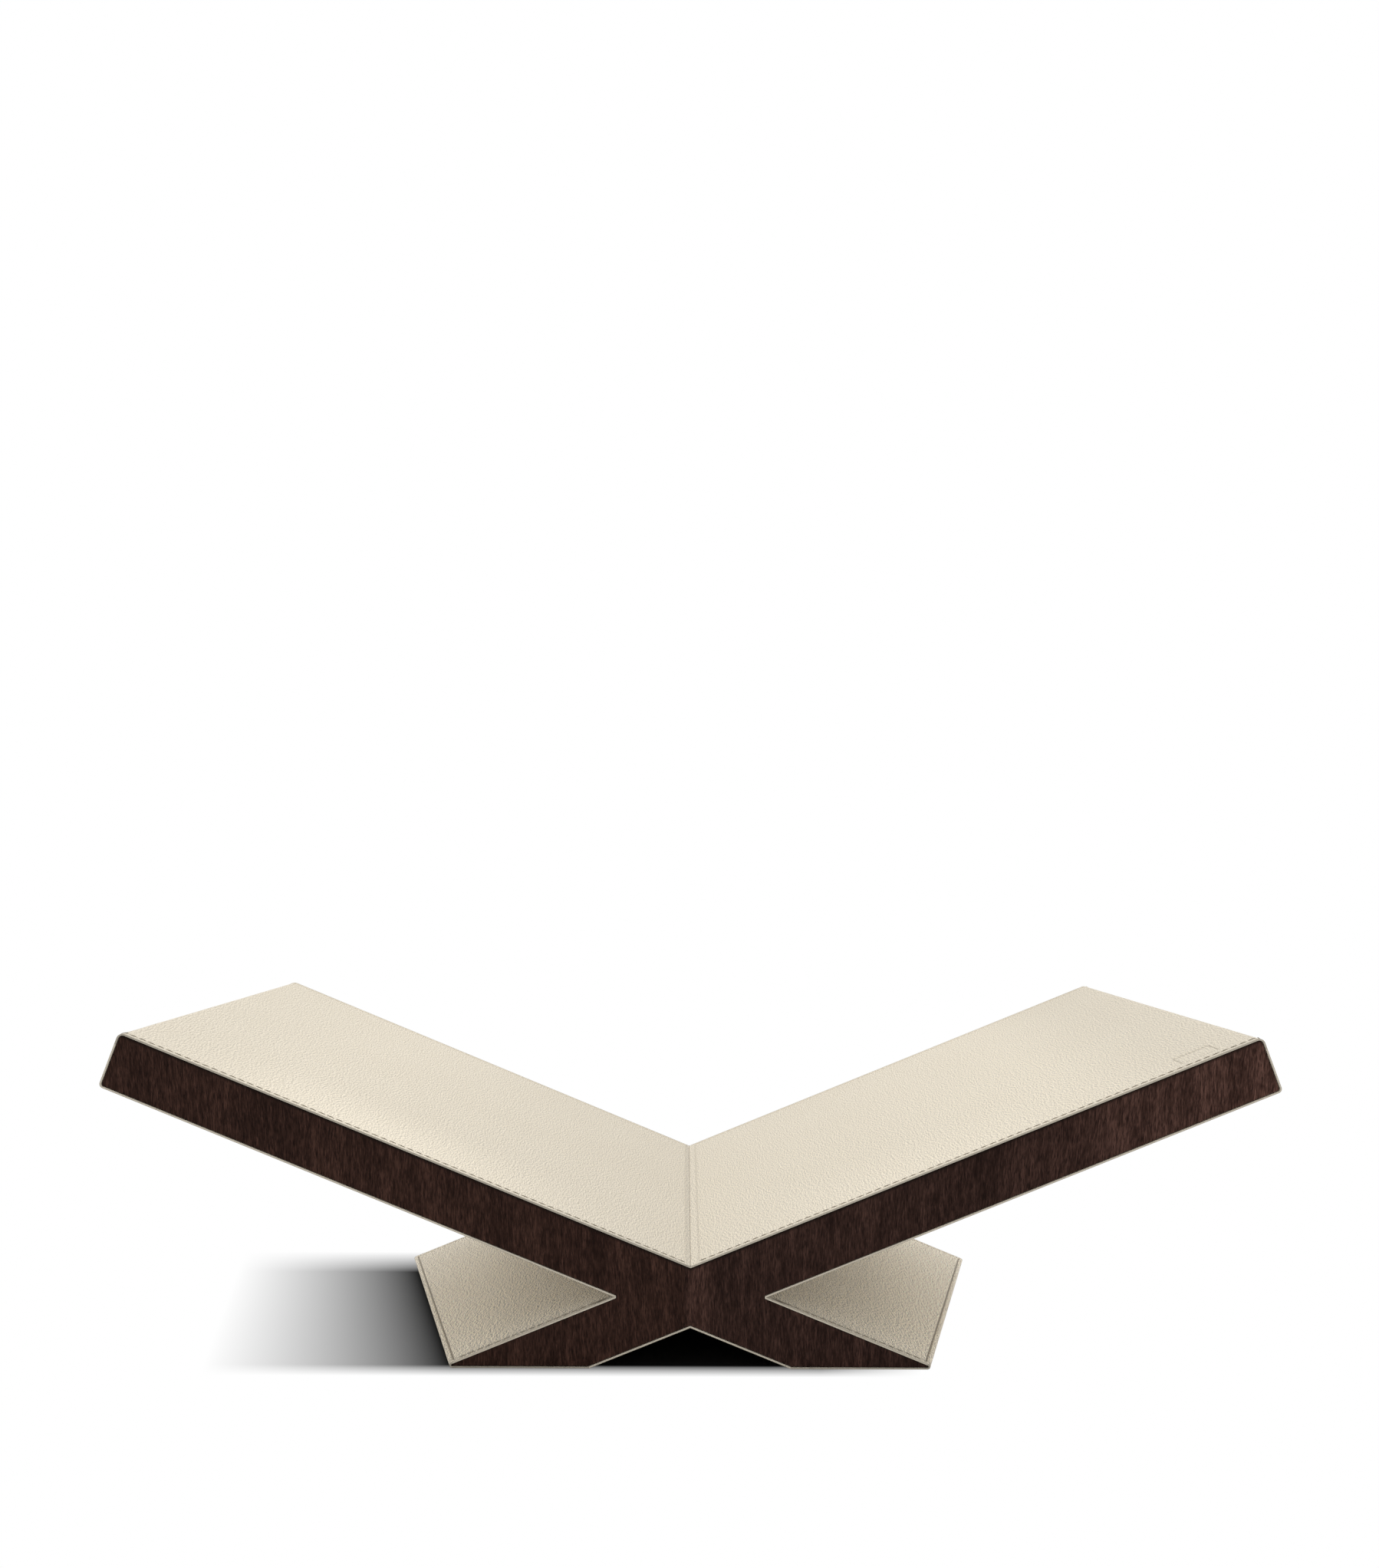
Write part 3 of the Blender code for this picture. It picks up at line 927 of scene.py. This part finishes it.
def leg_painted_shading(distance, from_front, side):
    """How light the other hides are, on their outer faces and on their cut edges.

    A face gets painted shade round its front row and towards the notch, and painted light towards
    the toe. A cut edge gets painted light over a foot and painted shade under it.
    """
    # Painted shade round the front row and towards the notch, painted light towards the toe
    margin = 1 - LEG_MARGIN_SHADE * bell(from_front - ROW_INSET, LEG_MARGIN_REACH)
    deep = 1 - LEG_DEEP_SHADE * bell(distance, LEG_DEEP_REACH)
    face = margin * deep * (1 + LEG_END_PAINTED_LIGHTS[side] * ramp(distance - LEG_END_START, LEG_END_REACH))
    above = distance < leg_top_length(from_front - LEATHER_LIP)
    return face, np.where(above, LOW_CUT_LIGHT_FACTOR, SOLE_CUT_SHADE_FACTORS[side])


def arm_row_length(side):
    """How long the sewn row along an arm's hide is."""
    _, _, distance = section_path(arm_path, LEATHER_COVER, np.zeros(1), arm_runs(side))
    return whole_stitches(distance[-1, 0] - NOTCH_ROW_END - FOLD_ROW_PLACES[side])


def leg_top_length(depth):
    """Length of a leg's top from the notch to where the toe starts to turn, at each depth."""
    corners = leg_path(LEATHER_COVER, np.asarray(depth))
    sharp = np.linalg.norm(corners[1][0] - corners[0][0], axis=-1)
    return sharp - corners[1][1] / tan(BOARD_SLOPE / 2)


def thread_row(name, material, row, sink):
    """Threads of a row as one piece: a short tube per stitch.

    The row gives the stitches' middles, the way they lie and the way out of the leather. A tube's
    middle line lies sink under the leather and dives by the square of its share, and its thickness
    tapers like an ellipse.
    """
    middles, along, outward = (part[:, None, None, :] for part in row)
    sideways = np.cross(along, outward)
    share = np.linspace(-1, 1, THREAD_RINGS)[None, :, None, None]
    turn = np.linspace(0, 2 * pi, THREAD_SIDES + 1)[None, None, :-1, None]
    line = middles + along * share * STITCH_LENGTH / 2 - outward * (sink + THREAD_DIVE * share ** 2)
    radius = THREAD_RADIUS * np.sqrt(1 - THREAD_TAPER * share ** 2)
    points = line + radius * (np.cos(turn) * outward + np.sin(turn) * sideways)
    ring, spoke = np.meshgrid(np.arange(THREAD_RINGS - 1), np.arange(THREAD_SIDES), indexing="ij")
    beyond = (spoke + 1) % THREAD_SIDES
    tube = np.stack([
        ring * THREAD_SIDES + spoke, ring * THREAD_SIDES + beyond,
        (ring + 1) * THREAD_SIDES + beyond, (ring + 1) * THREAD_SIDES + spoke,
    ], axis=-1).reshape(-1, 4)
    ends = [np.arange(THREAD_SIDES)[::-1], np.arange(THREAD_SIDES) + (THREAD_RINGS - 1) * THREAD_SIDES]
    first = np.arange(len(points))[:, None] * THREAD_RINGS * THREAD_SIDES
    faces = (first[:, :, None] + tube[None]).reshape(-1, 4).tolist()
    for end in ends:
        faces += (first + end[None]).tolist()
    piece = new_piece(name, points, faces, material, smooth_angle=THREAD_SMOOTH_ANGLE)


def row_along_path(side, path, runs, depth, start, length):
    """Stitches of a row along the section at one depth: middles, ways along and ways outward."""
    points, outward, distance = section_path(path, LEATHER_COVER, np.full(1, depth), runs)
    place = start + STITCH_PITCH * (np.arange(int(round(length / STITCH_PITCH))) + 0.5)
    at = [np.interp(place, distance[:, 0], points[:, 0, i]) for i in (0, 1)]
    out = [np.interp(place, distance[:, 0], outward[:, 0, i]) for i in (0, 1)]
    none = 0 * place
    middles = in_stand(side * at[0], none + depth, at[1])
    along = unit(pitched(side * out[1], none, -out[0]))
    return middles, along, unit(pitched(side * out[0], none, out[1]))


def row_along_depth(side, path, place_at):
    """Stitches of a row back along the first run of a path, at a distance given for each depth."""
    count = int(DEPTH_ROW_LENGTH / STITCH_PITCH)
    depth = ROW_INSET - LEATHER_LIP + DEPTH_ROW_LENGTH / count * (np.arange(count) + 0.5)
    corners = path(LEATHER_COVER, depth)
    start = np.broadcast_to(corners[0][0], (count, 2))
    along = unit(corners[1][0] - start)
    at = start + along * place_at(depth)[:, None]
    out = left_of(along)
    none = 0 * depth
    middles = in_stand(side * at[:, 0], depth, at[:, 1])
    ways = pitched(none, none + 1, none)
    return middles, ways, pitched(side * out[:, 0], none, out[:, 1])


def add_hides():
    """The six hides with their threads."""
    arm_leather = cream_leather("cream_leather_arms", ARM_GRAIN_SCALE, ARM_RELIEF, ARM_GRAIN_SHADE)
    leg_leather = cream_leather("cream_leather_legs", LEG_GRAIN_SCALE, LEG_RELIEF, LEG_GRAIN_SHADE)
    thread = sewing_thread("edge_thread", THREAD_DARK, THREAD_LIGHT)
    pale_thread = sewing_thread("fold_thread", LEATHER_WARM, LEATHER_PALE)
    front_row = ROW_INSET - LEATHER_LIP
    back_row = STAND_DEPTH - front_row
    for side, side_name in SIDE_NAMES.items():
        arm = hide(f"arm_hide_{side_name}", side, arm_path, arm_runs(side), arm_dips, arm_leather,
                   arm_painted_shading, panel=side == RIGHT, notch=(-1, LEATHER_JOINT / 2))
        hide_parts(f"arm_leather_{side_name}")
        leg = hide(f"leg_hide_{side_name}", side, leg_path, leg_runs(side), leg_dips, leg_leather,
                   leg_painted_shading, notch=(0, -LEATHER_JOINT / 2))
        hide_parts(f"leg_leather_{side_name}")
        under = hide(f"under_hide_{side_name}", side, under_path, under_runs(side), under_dips,
                     leg_leather, leg_painted_shading)
        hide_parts(f"under_leather_{side_name}")

        fold_place = FOLD_ROW_PLACES[side]
        row = row_along_depth(side, arm_path, lambda depth: 0 * depth + fold_place)
        thread_row(f"fold_stitches_{side_name}", pale_thread, row, FOLD_THREAD_SINK)
        row = row_along_depth(side, leg_path, lambda depth: leg_top_length(depth) - TOE_ROW_INSET)
        thread_row(f"toe_stitches_{side_name}", thread, row, TOE_THREAD_SINK)
        for place, depth, material in (("front", front_row, thread), ("back", back_row, pale_thread)):
            at_row = np.full(1, depth)
            leg_length = leg_top_length(at_row)[0] - TOE_ROW_INSET - NOTCH_ROW_END
            _, _, distance = section_path(under_path, LEATHER_COVER, at_row, under_runs(side))
            under_length = whole_stitches(distance[-1, 0] - 2 * NOTCH_ROW_END)
            rows = {
                "arm": (arm_path, arm_runs(side), fold_place, arm_row_length(side)),
                "leg": (leg_path, leg_runs(side), NOTCH_ROW_END, whole_stitches(leg_length)),
                "under": (under_path, under_runs(side), NOTCH_ROW_END, under_length),
            }
            for part, (path, runs, start, length) in rows.items():
                row = row_along_path(side, path, runs, depth, start, length)
                thread_row(f"{part}_stitches_{place}_{side_name}", material, row, EDGE_THREAD_SINK)


def dress_wood():
    """Materials of the walnut facings and the boards behind them."""
    for i, (node_name, (tone, stripe)) in enumerate(FACINGS.items()):
        front = float(node_name.startswith("front"))
        seed = WALNUT_SEED_STEP * (i + 1)
        material = walnut(node_name, seed, tone, stripe, LIGHT_END_GAINS.get(node_name, 0), front)
        dress(node_name, material)
    core = core_wood()
    for side_name in SIDE_NAMES.values():
        dress(f"{side_name}_arm_board", core)


def dress(node_name, material):
    """A solid's own mesh with this material."""
    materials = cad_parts[node_name].data.materials
    materials.clear()
    materials.append(material)


def add_seams():
    """Tinted wax in the upright seams between the walnut leaves, front and back.

    A closed strip between the leaves: its face bows in by SEAM_HOLLOW between its edges.
    """
    rise = BOARD_THICKNESS / 2 / cos(BOARD_SLOPE)
    aside = abs(SEAM_OFFSET) * tan(BOARD_SLOPE)
    middle = CROSSING_HEIGHT + aside
    up = np.linspace(middle - rise, middle + rise, SEAM_STEPS)[:, None]
    share = np.linspace(-1, 1, SEAM_STEPS)
    across = SEAM_OFFSET + np.concatenate([share, -share[[0, -1]]]) * SEAM_GAP / 2
    inward = np.concatenate([SEAM_HOLLOW * (1 - share ** 2), [FACING_THICKNESS, FACING_THICKNESS]])
    for place, start, way in (("front", 0, 1), ("back", STAND_DEPTH, -1)):
        points = in_stand(across + 0 * up, start + way * inward + 0 * up, up + 0 * across)
        faces = grid_faces(len(up), len(across), LEFT if place == "front" else RIGHT)
        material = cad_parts[f"{place}_facing_left"].data.materials[0]
        seam = new_piece(f"walnut_seam_{place}", points, faces, material)


def seen_straight(tree):
    """One for light that the camera sees straight, in a mirror or through glass, or else nothing."""
    path = add_node(tree, "ShaderNodeLightPath").outputs
    seen = calculate(tree, "MAXIMUM", path["Is Camera Ray"], path["Is Glossy Ray"])
    return calculate(tree, "MAXIMUM", seen, path["Is Transmission Ray"])


def add_floor():
    """A pale floor, a hair under the soles, with a painted shadow of the stand, that turns plain white.

    As it is seen, the floor is painted dark between the two lines that the toes follow. From there
    white comes in evenly: slowly to the left, where the painted shadow falls, soon in front and
    behind, and already under the leg to the right. The toe lines lie TOE_PLACE from the middle at the
    front, and TOE_SPREAD times as much further out as they run back. What the floor throws back on
    the stand is plain pale everywhere.
    """
    mesh = bpy.data.meshes.new("floor")
    half = FLOOR_SIZE / 2
    corners = ((-half, -half), (half, -half), (half, half), (-half, half))
    mesh.from_pydata([(x, y, -FLOOR_DROP) for x, y in corners], [], [(0, 1, 2, 3)])
    floor = bpy.data.objects.new("floor", mesh)
    bpy.context.collection.objects.link(floor)
    material = bpy.data.materials.new("floor")
    material.use_nodes = True
    tree = material.node_tree
    tree.nodes.remove(tree.nodes["Principled BSDF"])
    place = add_node(tree, "ShaderNodeTexCoord").outputs["Object"]
    x, y, _ = add_node(tree, "ShaderNodeSeparateXYZ", {"Vector": place}).outputs
    from_fold = calculate(tree, "SUBTRACT", y, FOLD_START_Y)
    toe = calculate(tree, "MULTIPLY_ADD", from_fold, TOE_SPREAD, TOE_PLACE)
    # Painted shadow: dark between the toe lines, fading to white in front, behind and to each side
    dark = spread(tree, y, *SHADOW_FRONT, 1.0, 0.0)
    dark = calculate(tree, "MULTIPLY", dark, spread(tree, y, *SHADOW_BACK, 1.0, 0.0))
    for side, reach in SHADOW_REACHES.items():
        beyond = calculate(tree, "SUBTRACT", calculate(tree, "MULTIPLY", x, side), toe)
        dark = calculate(tree, "MULTIPLY", dark, spread(tree, beyond, *reach, 1.0, 0.0))
    plain = calculate(tree, "SUBTRACT", 1.0, dark)
    seen = seen_straight(tree)
    # As it is seen the floor has the painted shadow's colour; what it throws back is plain pale
    colour = blend_colour(tree, seen, FLOOR_COLOUR, FLOOR_PAINTED_SHADOW)
    lit = add_node(tree, "ShaderNodeBsdfDiffuse", {"Color": colour})
    white = add_node(tree, "ShaderNodeEmission", {"Color": WHITE, "Strength": 1.0})
    share = calculate(tree, "MULTIPLY", seen, plain)
    mixed = add_node(tree, "ShaderNodeMixShader", {0: share, 1: lit.outputs[0], 2: white.outputs[0]})
    tree.links.new(mixed.outputs[0], tree.nodes["Material Output"].inputs["Surface"])
    mesh.materials.append(material)


def add_world():
    """White where it is seen. What it lights gets less from the horizon and from above than between.

    Heights are those of the direction of the light, from 0 at the horizon to 1 straight above.
    """
    world = bpy.data.worlds.new("studio")
    bpy.context.scene.world = world
    world.use_nodes = True
    tree = world.node_tree
    background = tree.nodes["Background"]
    background.inputs["Color"].default_value = WHITE
    direction = add_node(tree, "ShaderNodeTexCoord").outputs["Generated"]
    height = add_node(tree, "ShaderNodeSeparateXYZ", {"Vector": direction}).outputs["Z"]
    rising = spread(tree, height, 0.0, GLOW_HEIGHTS[0], HORIZON_LIGHT, GLOW_LIGHT)
    falling = spread(tree, height, *GLOW_HEIGHTS, GLOW_LIGHT, ZENITH_LIGHT)
    light = calculate(tree, "MINIMUM", rising, falling)
    unlit = calculate(tree, "SUBTRACT", 1.0, light)
    strength = calculate(tree, "MULTIPLY_ADD", seen_straight(tree), unlit, light)
    tree.links.new(strength, background.inputs["Strength"])


def add_light():
    """A square soft light overhead that faces the middle of the floor under the stand."""
    lamp = bpy.data.lights.new("overhead", "AREA")
    lamp.size = OVERHEAD_SIZE
    lamp.energy = OVERHEAD_POWER
    light = bpy.data.objects.new("overhead", lamp)
    bpy.context.collection.objects.link(light)
    light.location = OVERHEAD_PLACE
    light.rotation_euler = light.location.to_track_quat("Z", "Y").to_euler()


def add_camera():
    """A level camera, shifted down to frame the stand as the photograph does."""
    lens = bpy.data.cameras.new("camera")
    lens.sensor_width = SENSOR
    lens.lens = FOCAL_PIXELS * SENSOR / max(PHOTO_SIZE)
    lens.shift_y = (HORIZON_PIXEL - PHOTO_SIZE[1] / 2) / max(PHOTO_SIZE)
    camera = bpy.data.objects.new("camera", lens)
    bpy.context.collection.objects.link(camera)
    camera.location = CAMERA_PLACE
    camera.rotation_euler = (pi / 2, -CAMERA_ROLL, -CAMERA_YAW)
    bpy.context.scene.camera = camera


def add_stage():
    """Floor, world, light and camera."""
    add_floor()
    add_world()
    add_light()
    add_camera()
    bpy.context.scene.view_settings.view_transform = "Standard"


add_hides()
dress_wood()
add_seams()
add_stage()
